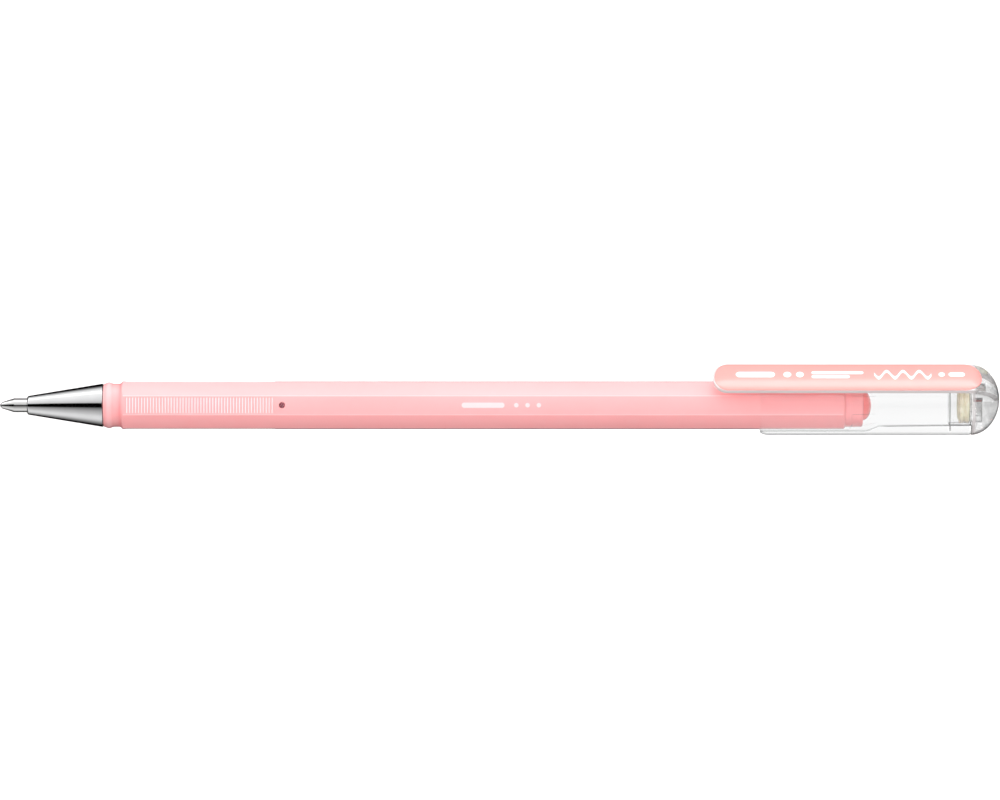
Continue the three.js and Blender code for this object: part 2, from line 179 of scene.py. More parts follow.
# ------------------------------------------------------------------ material helpers
class Nodes:
    def __init__(self, name):
        self.mat = bpy.data.materials.new(name)
        self.mat.use_nodes = True
        self.t = self.mat.node_tree
        self.t.nodes.clear()
        self.out = self.t.nodes.new("ShaderNodeOutputMaterial")
        self.bsdf = self.t.nodes.new("ShaderNodeBsdfPrincipled")
        self.t.links.new(self.bsdf.outputs[0], self.out.inputs[0])
        # Where each point of the mesh is at rest, so that patterns stay on a piece when it moves.
        self.coord = self.node("ShaderNodeAttribute", attribute_name="rest").outputs["Vector"]

    def set(self, **kw):
        for k, v in kw.items():
            self.bsdf.inputs[k.replace("_", " ")].default_value = v

    def link(self, a, b):
        self.t.links.new(a, b)

    def node(self, kind, **props):
        n = self.t.nodes.new(kind)
        for k, v in props.items():
            setattr(n, k, v)
        return n

    def math(self, op, a, b=None, c=None, clamp=False):
        n = self.node("ShaderNodeMath", operation=op, use_clamp=clamp)
        for i, v in enumerate((a, b, c)):
            if v is None:
                continue
            if isinstance(v, (int, float)):
                n.inputs[i].default_value = v
            else:
                self.link(v, n.inputs[i])
        return n.outputs[0]

    def dot(self, vec):
        n = self.node("ShaderNodeVectorMath", operation="DOT_PRODUCT")
        self.link(self.coord, n.inputs[0])
        n.inputs[1].default_value = vec
        return n.outputs["Value"]

    def noise(self, scale, detail=3.0, rough=0.5, stretch=(1, 1, 1)):
        m = self.node("ShaderNodeMapping")
        m.inputs["Scale"].default_value = stretch
        self.link(self.coord, m.inputs[0])
        n = self.node("ShaderNodeTexNoise")
        n.inputs["Scale"].default_value = scale
        n.inputs["Detail"].default_value = detail
        n.inputs["Roughness"].default_value = rough
        self.link(m.outputs[0], n.inputs["Vector"])
        return n.outputs[0]

    def range(self, value, lo, hi, a=0.0, b=1.0):
        n = self.node("ShaderNodeMapRange")
        n.inputs["From Min"].default_value = lo
        n.inputs["From Max"].default_value = hi
        n.inputs["To Min"].default_value = a
        n.inputs["To Max"].default_value = b
        self.link(value, n.inputs["Value"])
        return n.outputs["Result"]

    def mix(self, factor, a, b):
        n = self.node("ShaderNodeMix", data_type="RGBA")
        for v, sock in ((a, n.inputs[6]), (b, n.inputs[7])):
            if isinstance(v, (tuple, list)):
                sock.default_value = tuple(v[:3]) + (1.0,)
            else:
                self.link(v, sock)
        if isinstance(factor, (int, float)):
            n.inputs[0].default_value = factor
        else:
            self.link(factor, n.inputs[0])
        return n.outputs[2]

    def bump(self, height, strength, distance):
        n = self.node("ShaderNodeBump")
        n.inputs["Strength"].default_value = strength
        n.inputs["Distance"].default_value = distance
        self.link(height, n.inputs["Height"])
        self.link(n.outputs[0], self.bsdf.inputs["Normal"])

    def attribute(self, name):
        return self.node("ShaderNodeAttribute", attribute_name=name).outputs["Fac"]


def capsule(nd, x, y, x0, x1, yc, r):
    """Signed distance in mm from (x, y) to a bar with round ends."""
    half, mid = (x1 - x0) / 2, (x0 + x1) / 2
    dx = nd.math("MAXIMUM", nd.math("SUBTRACT", nd.math("ABSOLUTE", nd.math("SUBTRACT", x, mid)), half), 0.0)
    dy = nd.math("SUBTRACT", y, yc)
    d = nd.math("SQRT", nd.math("ADD", nd.math("MULTIPLY", dx, dx), nd.math("MULTIPLY", dy, dy)))
    return nd.math("SUBTRACT", d, r)


def nearest(nd, distances):
    d = distances[0]
    for other in distances[1:]:
        d = nd.math("MINIMUM", d, other)
    return d


PINK = (0.985, 0.462, 0.470)
PINK_LOW = (0.975, 0.442, 0.450)
PINK_SHADE = (0.965, 0.33, 0.335)
PINK_PALE = (1.0, 0.80, 0.82)


def pink_barrel():
    nd = Nodes("milky_pink_barrel")
    cloud = nd.noise(160, 3, 0.55, (0.25, 1, 1))
    tint = nd.mix(nd.range(cloud, 0.35, 0.65), PINK, PINK_LOW)
    # Painted shade: deeper pink in the neck beside the snap bead and where the octagon begins.
    tint = nd.mix(nd.attribute("deep"), tint, PINK_SHADE)
    # Painted highlight: the rib crests are painted paler.
    rib_crest_highlight = nd.attribute("rib_crest_highlight")
    tint = nd.mix(nd.math("MULTIPLY", rib_crest_highlight, 0.95), tint, PINK_PALE)
    # Painted highlight: pale lines on the rounded facet edges and on the snap bead's crest.
    tint = nd.mix(nd.math("MULTIPLY", nd.attribute("edge"), 0.45), tint, PINK_PALE)
    # Pale moulded-in marks on the facet beside the clip: a bar and dots.
    s = nd.math("ADD", nd.math("MULTIPLY", nd.dot((1, 0, 0)), 1000.0), MID_S)
    t = nd.math("MULTIPLY", nd.math("SUBTRACT", nd.dot((0, 0.70711, 0.70711)), AXIS_H / 1000 * 0.70711), 1000.0)
    face = nd.math("MULTIPLY", nd.math("SUBTRACT", nd.dot((0, -0.70711, 0.70711)), AXIS_H / 1000 * 0.70711), 1000.0)
    marks = nearest(
        nd,
        [capsule(nd, s, t, 74.3, 80.3, 0.02, 0.42)]
        + [capsule(nd, s, t, c, c, 0.02, 0.36) for c in (82.6, 84.4, 86.2)],
    )
    mark = nd.math("MULTIPLY", nd.range(marks, 0.05, -0.05), nd.range(face, 3.6, 3.7))
    tint = nd.mix(nd.math("MULTIPLY", mark, 0.75), tint, PINK_PALE)
    nd.link(tint, nd.bsdf.inputs["Base Color"])
    fine = nd.noise(2600, 2, 0.5)
    nd.link(nd.range(fine, 0.3, 0.7, 0.17, 0.24), nd.bsdf.inputs["Roughness"])
    nd.bump(fine, 0.05, 0.00002)
    nd.set(Subsurface_Weight=0.2, Subsurface_Radius=(1.0, 0.5, 0.5), Subsurface_Scale=0.0006, IOR=1.5, Specular_IOR_Level=0.2, Coat_Weight=0.15)
    nd.bsdf.inputs["Coat Roughness"].default_value = 0.08
    return nd.mat


def pink_plug():
    nd = Nodes("pink_plug")
    nd.link(nd.mix(nd.noise(300, 2), (0.975, 0.335, 0.33), (0.97, 0.31, 0.305)), nd.bsdf.inputs["Base Color"])
    nd.link(nd.range(nd.noise(2600, 2), 0.3, 0.7, 0.2, 0.3), nd.bsdf.inputs["Roughness"])
    nd.set(Subsurface_Weight=0.15, Subsurface_Radius=(1.0, 0.35, 0.35), Subsurface_Scale=0.0005, IOR=1.5, Specular_IOR_Level=0.35, Coat_Weight=0.5)
    return nd.mat


def pink_inlay():
    nd = Nodes("pink_inlay")
    cloud = nd.noise(120, 2, 0.5, (0.3, 1, 1))
    base = nd.mix(nd.range(cloud, 0.35, 0.65), (0.975, 0.310, 0.282), (0.97, 0.295, 0.268))
    s = nd.math("ADD", nd.math("MULTIPLY", nd.dot((1, 0, 0)), 1000.0), MID_S)
    y = nd.math("MULTIPLY", nd.dot((0, 1, 0)), 1000.0)
    h = nd.math("SUBTRACT", nd.math("MULTIPLY", nd.dot((0, 0, 1)), 1000.0), AXIS_H)
    # Plain white print: bars, dots and a wave.
    wave_y = nd.math("MULTIPLY", nd.math("SINE", nd.math("MULTIPLY", nd.math("SUBTRACT", s, 141.0), 2 * math.pi / 2.6)), 0.75)
    wave = nd.math("SUBTRACT", nd.math("MULTIPLY", nd.math("ABSOLUTE", nd.math("SUBTRACT", nd.math("SUBTRACT", y, 0.3), wave_y)), 0.5), 0.17)
    ends = nd.math("SUBTRACT", nd.math("ABSOLUTE", nd.math("SUBTRACT", s, 144.2)), 4.55)
    wave = nd.math("MAXIMUM", wave, ends)
    marks = nearest(
        nd,
        [
            capsule(nd, s, y, 118.2, 123.2, 0.3, 0.62),
            capsule(nd, s, y, 125.8, 125.8, 0.3, 0.62),
            capsule(nd, s, y, 127.8, 127.8, 0.3, 0.62),
            capsule(nd, s, y, 130.0, 137.6, 0.72, 0.34),
            capsule(nd, s, y, 130.0, 135.4, -0.18, 0.34),
            wave,
            capsule(nd, s, y, 150.4, 150.4, 0.3, 0.5),
            capsule(nd, s, y, 152.0, 153.6, 0.3, 0.5),
        ],
    )
    mark = nd.math("MULTIPLY", nd.range(marks, 0.04, -0.04), nd.range(h, 6.2, 6.4))
    nd.link(nd.mix(mark, base, (0.93, 0.92, 0.92)), nd.bsdf.inputs["Base Color"])
    fine = nd.noise(2600, 2)
    nd.link(nd.range(fine, 0.3, 0.7, 0.16, 0.22), nd.bsdf.inputs["Roughness"])
    nd.bump(fine, 0.04, 0.00002)
    nd.set(Subsurface_Weight=0.1, Subsurface_Radius=(1.0, 0.35, 0.35), Subsurface_Scale=0.0004, IOR=1.5, Specular_IOR_Level=0.5, Coat_Weight=1.0)
    nd.bsdf.inputs["Coat Roughness"].default_value = 0.06
    return nd.mat


def clear_plastic(name, ior=1.12, edge=(0.80, 0.81, 0.815), inner_edge=None, milky=None, painted_refraction=None):
    nd = Nodes(name)
    lw = nd.node("ShaderNodeLayerWeight")
    lw.inputs["Blend"].default_value = 0.35
    flow = nd.noise(220, 2, 0.5, (0.2, 1, 1))
    tone = nd.mix(nd.range(flow, 0.3, 0.7), (0.998, 1.0, 1.0), (0.988, 0.99, 0.99))
    if painted_refraction:
        # Painted shade: soft grey patches stand in for light bent in the thick moulding.
        patch = nd.noise(painted_refraction[0], 2, 0.55, (1, 1, 1))
        tone = nd.mix(nd.range(patch, 0.44, 0.60), tone, (painted_refraction[1], painted_refraction[1], painted_refraction[1]))
    # Painted shade: where the surface is seen at a glance its colour turns to the edge colour, a dark rim standing
    # in for reflections and bent light.
    painted_edge_mask = nd.range(lw.outputs["Facing"], 0.42, 0.72)
    if inner_edge:
        # Painted shade: the bore's wall is painted a little darker at a glance than the outside.
        y = nd.dot((0, 1, 0))
        z = nd.math("SUBTRACT", nd.dot((0, 0, 1)), AXIS_H / 1000)
        r = nd.math("SQRT", nd.math("ADD", nd.math("MULTIPLY", y, y), nd.math("MULTIPLY", z, z)))
        plain = nd.range(nd.dot((1, 0, 0)), (140.8 - MID_S) / 1000, (142.0 - MID_S) / 1000)
        inner = nd.mix(plain, edge, inner_edge)
        edge = nd.mix(nd.range(r, 0.0042, 0.0043), inner, edge)
    nd.link(nd.mix(painted_edge_mask, tone, edge), nd.bsdf.inputs["Base Color"])
    nd.link(nd.range(nd.noise(1800, 2), 0.3, 0.7, 0.0, 0.03), nd.bsdf.inputs["Roughness"])
    nd.bump(flow, 0.02, 0.00005)
    nd.set(Transmission_Weight=1.0, IOR=ior, Coat_Weight=0.5)
    if milky:
        # The thin arm is less clear than the thick crown.
        arm = nd.range(nd.dot((1, 0, 0)), (milky[0] - MID_S) / 1000, (milky[1] - MID_S) / 1000)
        nd.link(nd.range(arm, 0.0, 1.0, milky[2], 1.0), nd.bsdf.inputs["Transmission Weight"])
        tone = nd.mix(arm, nd.mix(nd.range(flow, 0.3, 0.7), (0.70, 0.71, 0.71), (0.66, 0.67, 0.67)), nd.mix(painted_edge_mask, tone, edge))
        nd.link(tone, nd.bsdf.inputs["Base Color"])
    nd.bsdf.inputs["Coat Roughness"].default_value = 0.02
    nd.bsdf.inputs["Coat IOR"].default_value = 1.5
    return nd.mat


def bright_metal(name, base=(0.55, 0.55, 0.555), low=0.06, high=0.13, line=1500, glance=0.6):
    nd = Nodes(name)
    # Turning marks run round the axis, so they change fast along X only.
    marks = nd.noise(1.0, 3, 0.6, (line * 4, line * 0.02, line * 0.02))
    broad = nd.noise(300, 2, 0.5)
    nd.link(nd.mix(nd.range(broad, 0.3, 0.7), base, tuple(c * 0.94 for c in base)), nd.bsdf.inputs["Base Color"])
    nd.link(nd.range(marks, 0.3, 0.7, low, high), nd.bsdf.inputs["Roughness"])
    nd.bump(marks, 0.03, 0.00001)
    nd.set(Metallic=1.0, Specular_Tint=(glance, glance, glance, 1.0))
    return nd.mat


def soft_plastic(name, a, b, rough=(0.35, 0.5), **kw):
    nd = Nodes(name)
    nd.link(nd.mix(nd.range(nd.noise(400, 3), 0.35, 0.65), a, b), nd.bsdf.inputs["Base Color"])
    fine = nd.noise(3000, 2)
    nd.link(nd.range(fine, 0.3, 0.7, *rough), nd.bsdf.inputs["Roughness"])
    nd.bump(fine, 0.06, 0.00003)
    nd.set(**kw)
    return nd.mat


def seal_rubber():
    nd = Nodes("seal_rubber")
    cloud = nd.noise(900, 4, 0.6)
    band = nd.noise(1.0, 2, 0.5, (60, 900, 900))
    tone = nd.mix(nd.range(cloud, 0.35, 0.65), (0.84, 0.87, 0.70), (0.68, 0.69, 0.50))
    tone = nd.mix(nd.math("MULTIPLY", nd.range(band, 0.4, 0.65), 0.35), tone, (0.92, 0.93, 0.80))
    nd.link(tone, nd.bsdf.inputs["Base Color"])
    nd.link(nd.range(cloud, 0.3, 0.7, 0.5, 0.7), nd.bsdf.inputs["Roughness"])
    nd.bump(cloud, 0.15, 0.00005)
    nd.set(Subsurface_Weight=0.1, Subsurface_Radius=(1, 0.7, 0.4), Subsurface_Scale=0.0006)
    return nd.mat


M_BARREL = pink_barrel()
M_PLUG = pink_plug()
M_INLAY = pink_inlay()
# The edge colours are painted shade at grazing angles.
M_TUBE = clear_plastic("clear_cap", 1.003, edge=(0.50, 0.51, 0.51), inner_edge=(0.02, 0.02, 0.02))
M_HOOD = clear_plastic("clear_hood", 1.42, edge=(0.10, 0.11, 0.11), milky=(155.3, 156.0, 0.15), painted_refraction=(340, 0.58))
M_CUP = clear_plastic("clear_cup", 1.02, edge=(0.05, 0.05, 0.05))
M_CONE = bright_metal("polished_cone")
M_TIP = bright_metal("turned_tip", (0.54, 0.54, 0.535), 0.06, 0.12, glance=0.0)
M_BALL = bright_metal("hard_ball", (0.30, 0.31, 0.32), 0.04, 0.1, glance=0.0)
M_SEAL = seal_rubber()
M_TUBE_IN = soft_plastic("refill_tube", (0.97, 0.86, 0.89), (0.95, 0.83, 0.86), (0.1, 0.2), Transmission_Weight=0.85, IOR=1.1)
M_HOLDER = soft_plastic("holder_plastic", (0.88, 0.85, 0.80), (0.85, 0.81, 0.76), Subsurface_Weight=0.1, Subsurface_Scale=0.001)
M_INK = soft_plastic("pink_ink", (0.96, 0.30, 0.42), (0.93, 0.27, 0.38), (0.1, 0.2))
M_GREASE = soft_plastic("follower_grease", (0.90, 0.83, 0.66), (0.86, 0.78, 0.60), (0.1, 0.2))

# ------------------------------------------------------------------ barrel
FLATS, EDGE_R = 7.62, 0.40
CROWN_DEG = 10.0
BARREL_FRONT, BARREL_REAR = 16.62, 138.0
NECK_R, BEAD_R, SHOULDER = 3.44, 3.67, 19.3
TAIL_R = 3.45
RIB_FIRST, RIB_PITCH, RIB_COUNT, RIB_HALF = 20.45, 0.4735, 50, 1.24
RIB_DEPTH = 0.08


def octagon_columns():
    """Columns round the barrel: (y, h, facet, t). Facets are slightly crowned and their edges rounded."""
    half = FLATS / 2
    inner = half - EDGE_R
    k = math.tan(math.radians(22.5))
    ti = inner * k
    rc = ti / math.sin(math.radians(CROWN_DEG))
    for _ in range(4):
        ti = (inner - ti * ti / (2 * rc)) * k
    nu = math.atan(ti / rc)
    flat = [-ti, -RIB_HALF, -1.21, -1.14, -1.02, -0.7, -0.35, 0, 0.35, 0.7, 1.02, 1.14, 1.21, RIB_HALF, ti]
    cols = []
    for f in range(8):
        a = math.radians(45 * f)
        ca, sa = math.cos(a), math.sin(a)
        for t in flat:
            n = math.atan(t / rc)
            ty, th = t + EDGE_R * math.sin(n), inner - t * t / (2 * rc) + EDGE_R * math.cos(n)
            y, h = th * math.sin(a) + ty * ca, th * ca - ty * sa
            cols.append((y, h, f, t))
        ci = (ti, inner - ti * ti / (2 * rc))
        for q in range(1, 6):
            n = nu + (math.pi / 4 - 2 * nu) * q / 6
            ty, th = ci[0] + EDGE_R * math.sin(n), ci[1] + EDGE_R * math.cos(n)
            y, h = th * math.sin(a) + ty * ca, th * ca - ty * sa
            cols.append((y, h, f, None))
    return cols


def barrel():
    cols = octagon_columns()
    dirs = [(y / math.hypot(y, h), h / math.hypot(y, h), math.hypot(y, h)) for y, h, f, t in cols]

    line = [1.0 if t is None else 0.0 for y, h, f, t in cols]

    def round_ring(s, r):
        # Painted highlight and shade: the snap bead's crest is painted paler, and the thin neck on each side of it
        # painted deeper pink.
        crest_highlight = smooth01((s - 17.0) / 0.35) * smooth01((18.1 - s) / 0.3)
        low = 0.4 * (1 - smooth01((s - 16.7) / 0.4)) + smooth01((s - 18.9) / 0.2) * (1 - smooth01((s - 19.35) / 0.3))
        if s > 100 or r < 3:
            crest_highlight = low = 0.0
        return [(s, r * dy, r * dh) for dy, dh, _ in dirs], [0.0] * len(cols), [0.45 * crest_highlight] * len(cols), [0.7 * low] * len(cols)

    def oct_ring(s, env=99.0):
        draft = 1 - (0.06 / FLATS) * max(0.0, (s - 121) / 14.5)
        pts, rib_crest_highlight, painted_edge_mask = [], [], []
        u = (s - RIB_FIRST) / RIB_PITCH
        near = min(max(round(u), 0), RIB_COUNT - 1)
        d = abs(u - near) * RIB_PITCH
        inside = smooth01((RIB_PITCH * 0.5 + 0.02 - d) / 0.02) if (u < -0.5 or u > RIB_COUNT - 0.5) else 1.0
        if u < -1 or u > RIB_COUNT:
            cut = 0.0
            top = 0.0
        else:
            e = min(1.0, d / (RIB_PITCH * 0.5))
            if u < 0 or u > RIB_COUNT - 1:
                e = e if abs(u - near) <= 0.5 else max(0.0, 1.0 - (abs(u - near) - 0.5) / 0.25)
            cut = RIB_DEPTH * (0.5 - 0.5 * math.cos(math.pi * smooth01(e * 1.15)))
            # Painted highlight: the pale tint on each rib's crest.
            top = smooth01((0.11 - d) / 0.06)
        for (y, h, f, t), (dy, dh, rho), at_edge in zip(cols, dirs, line):
            r = rho * draft
            # Painted highlight: the rounded edges get a pale line.
            painted_edge_mask.append(at_edge if r <= env + 1e-6 else 0.0)
            mark = 0.0
            if t is not None and f % 2 == 1 and abs(t) < RIB_HALF - 1e-6 and cut + top > 0:
                side = smooth01((RIB_HALF - abs(t)) / 0.12)
                r -= cut * side
                mark = top * side
            r = min(r, env)
            pts.append((s, r * dy, r * dh))
            rib_crest_highlight.append(mark)
        # Painted shade: deeper pink where the octagon rises out of the neck.
        low = 0.7 * (1 - smooth01((s - 19.32) / 0.35))
        return pts, rib_crest_highlight, painted_edge_mask, [low] * len(cols)

    rings = []
    for s, r in rounded(
        [(22.0, 2.6), (21.6, 3.0), (BARREL_FRONT, 3.0, 0.06), (BARREL_FRONT, 3.40, 0.06)]
    )[:-5] + [(BARREL_FRONT, 3.12), (BARREL_FRONT, 3.3)]:
        rings.append(round_ring(s, r))
    front = []
    for k in range(5):
        a = math.pi / 2 * k / 4
        front.append((BARREL_FRONT + 0.1 - 0.1 * math.cos(a), 3.36 + 0.08 * math.sin(a)))
    for k in range(1, 17):
        # Snap bead: a smooth hump that ends in the neck's groove.
        t = k / 16
        s = 16.72 + 1.5 * t
        base = 3.44 + (NECK_R - 3.44) * t
        front.append((s, base + (BEAD_R - 3.44) * math.sin(math.pi * smooth01(t)) ** 0.8 if 0 < t < 1 else base))
    front += [(18.5, NECK_R), (19.0, NECK_R), (19.18, NECK_R + 0.005), (19.28, NECK_R + 0.03)]
    for s, r in front:
        rings.append(round_ring(s, r))
    for k in range(28):
        s = 19.32 + 0.95 * k / 27
        rings.append(oct_ring(s, NECK_R + 0.05 + (s - 19.32) * 1.0))
    stations = []
    s = 20.0
    a, b = RIB_FIRST - RIB_PITCH, RIB_FIRST + RIB_COUNT * RIB_PITCH
    per = 10
    for i in range(int(round((b - a) / RIB_PITCH * per)) + 1):
        s = a + i * RIB_PITCH / per
        if s > 20.29:
            stations.append(s)
    stations += [44.4, 44.8, 45.21, 45.6, 46.5, 50, 60, 70, 80, 90, 100, 110, 118, 121, 124, 128, 131, 133.5, 134.3]
    for s in stations:
        rings.append(oct_ring(s))
    for k in range(22):
        s = 134.42 + 0.85 * k / 21
        rings.append(oct_ring(s, 4.33 - (s - 134.42) * (4.33 - TAIL_R) / 0.85))
    tail = rounded([(135.3, TAIL_R), (BARREL_REAR, TAIL_R - 0.02, 0.55), (BARREL_REAR, 2.62, 0.05), (BARREL_REAR - 1, 2.6)], 8)
    for s, r in tail:
        rings.append(round_ring(s, r))
    for s in (120, 100, 80, 60, 46, 45.1, 44.2, 40, 30):
        rings.append(round_ring(s, 2.6))
    verts, faces = grid_tube([r[0] for r in rings])
    rib_crest_highlight = [v for r in rings for v in r[1]]
    painted_edge_mask = [v for r in rings for v in r[2]]
    low = [v for r in rings for v in r[3]]
    ob = build("barrel_shell", verts, faces, "barrel", M_BARREL, "pink_barrel", ["barrel"], sharp=40, attributes={"rib_crest_highlight": rib_crest_highlight, "edge": painted_edge_mask, "deep": low})

    # Vent hole with a countersink, through the wall of the facet beside the clip.
    prof = [(1.6, 0.0), (1.6, 0.47), (3.60, 0.47)]
    for k in range(6):
        t = k / 5
        prof.append((3.62 + 0.18 * t, 0.48 + 0.12 * t * t))
    prof += [(4.2, 0.66), (4.2, 0.0)]
    n = 40
    cv, cf, rr = [], [], []
    for hgt, r in prof:
        if r == 0:
            rr.append([len(cv)])
            cv.append((0, 0, hgt))
        else:
            rr.append(list(range(len(cv), len(cv) + n)))
            for j in range(n):
                q = 2 * math.pi * j / n
                cv.append((r * math.cos(q), r * math.sin(q), hgt))
    for a, b in zip(rr, rr[1:]):
        for j in range(n):
            k = (j + 1) % n
            if len(a) == 1:
                cf.append((a[0], b[j], b[k]))
            elif len(b) == 1:
                cf.append((a[j], b[0], a[k]))
            else:
                cf.append((a[j], b[j], b[k], a[k]))
    turn = Matrix.Rotation(math.radians(45), 3, "X")
    cv = [turn @ Vector(v) for v in cv]
    me = bpy.data.meshes.new("vent_cutter")
    me.from_pydata([place((45.21 + v.x, v.y, v.z)) for v in cv], [], cf)
    bm = bmesh.new()
    bm.from_mesh(me)
    bmesh.ops.recalc_face_normals(bm, faces=bm.faces)
    bm.to_mesh(me)
    bm.free()
    cutter = bpy.data.objects.new("vent_cutter", me)
    bpy.context.scene.collection.objects.link(cutter)
    mod = ob.modifiers.new("vent", "BOOLEAN")
    mod.operation, mod.object, mod.solver = "DIFFERENCE", cutter, "EXACT"
    bpy.context.view_layer.update()
    done = bpy.data.meshes.new_from_object(ob.evaluated_get(bpy.context.evaluated_depsgraph_get()))
    ob.modifiers.clear()
    old = ob.data
    ob.data = done
    bpy.data.meshes.remove(old)
    bpy.data.objects.remove(cutter)
    done.name = "barrel_shell"
    keep_rest(done)
    return ob


barrel()


def turned_piece(name, profile, body, material, slot, replaces, n=96, sharp=38):
    v, f = lathe(rounded(profile), n)
    return build(name, v, f, body, material, slot, replaces, sharp)


# ------------------------------------------------------------------ writing end
cone_profile = [(4.37, 1.15, 0.03), (4.37, 1.3, 0.05), (4.56, 1.515, 0.1), (16.43, 3.465, 0.06), (16.52, 3.41, 0.04), (16.52, 2.72, 0.03)]
for i in range(9):
    s0 = 16.85 + i * 0.46
    cone_profile += [(s0, 2.71, 0.03), (s0 + 0.17, 2.9, 0.05), (s0 + 0.25, 2.9, 0.05), (s0 + 0.42, 2.71, 0.03)]
cone_profile += [(21.2, 2.7, 0.12), (21.2, 2.42, 0.08), (14.9, 2.42, 0.1), (14.35, 1.76, 0.1), (7.75, 1.56, 0.1), (7.45, 1.15, 0.05)]
turned_piece("cone_shell", cone_profile, "cone", M_CONE, "bright_metal", ["nose_cone"], 128, 30)

turned_piece(
    "point_shell",
    [(0.28, 0.405, 0.02), (0.29, 0.485, 0.03), (0.40, 0.53, 0.03), (2.27, 1.12, 0.06), (5.6, 1.12, 0.1), (5.9, 1.09, 0.1), (10.0, 1.09, 0.1), (10.0, 0.55), (2.6, 0.55), (2.2, 0.25), (0.86, 0.25), (0.64, 0.42), (0.42, 0.42)],
    "refill", M_TIP, "tip_steel", ["tip_point"], 96, 24,
)
ball = [(0.4 - 0.4 * math.cos(math.pi * k / 32), 0.4 * math.sin(math.pi * k / 32) if 0 < k < 32 else 0.0) for k in range(33)]
v, f = lathe(ball, 64)
build("ball_bead", v, f, "ball", M_BALL, "ball_carbide", ["ball"])
turned_piece(
    "holder_shell",
    [(7.9, 1.12), (7.9, 1.25, 0.05), (8.15, 1.44, 0.1), (14.3, 1.56, 0.1), (15.0, 2.3, 0.08), (16.0, 2.3, 0.08), (16.0, 1.73), (21.3, 1.7, 0.1), (21.6, 1.5, 0.05), (21.6, 0.7), (10.1, 0.7), (10.1, 1.12)],
    "refill", M_HOLDER, "holder_plastic", ["tip_holder"],
)
turned_piece(
    "refill_shell",
    [(16.12, 1.8, 0.05), (16.12, 2.3, 0.08), (126.0, 2.3, 0.08), (126.0, 1.8, 0.05)],
    "refill", M_TUBE_IN, "refill_plastic", ["refill_tube"],
)
turned_piece(
    "ink_fill",
    [(21.75, 0.0), (21.75, 1.74, 0.1), (104.1, 1.74), (103.9, 1.45), (103.5, 1.0), (103.25, 0.5), (103.2, 0.0)],
    "refill", M_INK, "pink_ink", ["ink_column"], 64,
)
turned_piece(
    "follower_fill",
    [(103.4, 0.0), (103.45, 0.5), (103.7, 1.0), (104.1, 1.45), (104.3, 1.74), (110.2, 1.74), (109.8, 1.4), (109.4, 0.8), (109.25, 0.0)],
    "refill", M_GREASE, "ink_follower", ["ink_follower"], 64,
)

# ------------------------------------------------------------------ tail plug
plug = [(137.0, 0.0), (136.6, 1.9, 0.2), (133.6, 1.9, 0.1), (133.6, 2.35, 0.1), (133.9, 2.52, 0.1), (137.9, 2.52, 0.1), (138.01, 2.4)]
for k in range(1, 17):
    a = math.pi / 2 * k / 16
    plug.append((138.02 + 1.37 * math.sin(a), 2.38 * math.cos(a) if k < 16 else 0.0))
turned_piece("plug_shell", plug, "barrel", M_PLUG, "pink_plug", ["tail_plug"])

# ------------------------------------------------------------------ cap
CAP_R, CAP_MOUTH, CAP_END = 4.75, 121.6, 155.2
BORE_R, RIB_IN = 4.19, 3.5


def cap_tube():
    n = 240
    ang = [2 * math.pi * j / n for j in range(n)]
    rib_at = [math.radians(c + d) for c in (0, 90, 180, 270) for d in (-15, 15)]

    def rib_amount(a, s):
        """How much of a grip rib stands at this angle and station, with a rounded rear end."""
        best = 0.0
        for r in rib_at:
            d = abs((a - r + math.pi) % (2 * math.pi) - math.pi) * 3.9
            w = 0.5
            if s > 140.4:
                over = (s - 140.4) / 0.5
                if over >= 1:
                    continue
                w = 0.5 * math.sqrt(1 - over * over)
            k = smooth01((w - d) / 0.13 + 0.5) * smooth01((s - 135.9) / 0.5)
            best = max(best, k)
        return best

    def bore(s):
        if s < 138.4:
            return BORE_R
        return BORE_R - (BORE_R - 3.42) * smooth01((s - 138.4) / 2.5)

    rings = []

    def ring(s, r):
        rings.append([(s, r * math.sin(a), r * math.cos(a)) for a in ang])

    for s, r in rounded([(CAP_MOUTH, BORE_R + 0.03, 0.06), (CAP_MOUTH, 4.34, 0.1), (CAP_MOUTH + 0.28, 4.52, 0.12), (CAP_MOUTH + 0.95, CAP_R, 0.3), (140, CAP_R), (CAP_END, CAP_R, 0.06), (CAP_END, 3.3, 0.05)], 5):
        ring(s, r)
    ring(153.5, 3.3)
    # A narrow relief groove where the cup's front edge seats
    for s, r in ((152.1, 3.3), (152.03, 4.1), (151.87, 4.1), (151.8, 3.3)):
        ring(s, r)
    ring(151.65, 3.31)
    ring(148, 3.36)
    s = 142.0
    while s > 135.6:
        base = bore(s)
        rings.append([(s, r * math.sin(a), r * math.cos(a)) for a in ang for r in [base - (base - min(base, RIB_IN)) * rib_amount(a, s)]])
        s -= 0.1
    ring(134, BORE_R)
    ring(126, BORE_R)
    v, f = grid_tube(rings)
    build("cap_tube_shell", v, f, "cap", M_TUBE, "clear_plastic", ["cap_tube"], 34)


cap_tube()

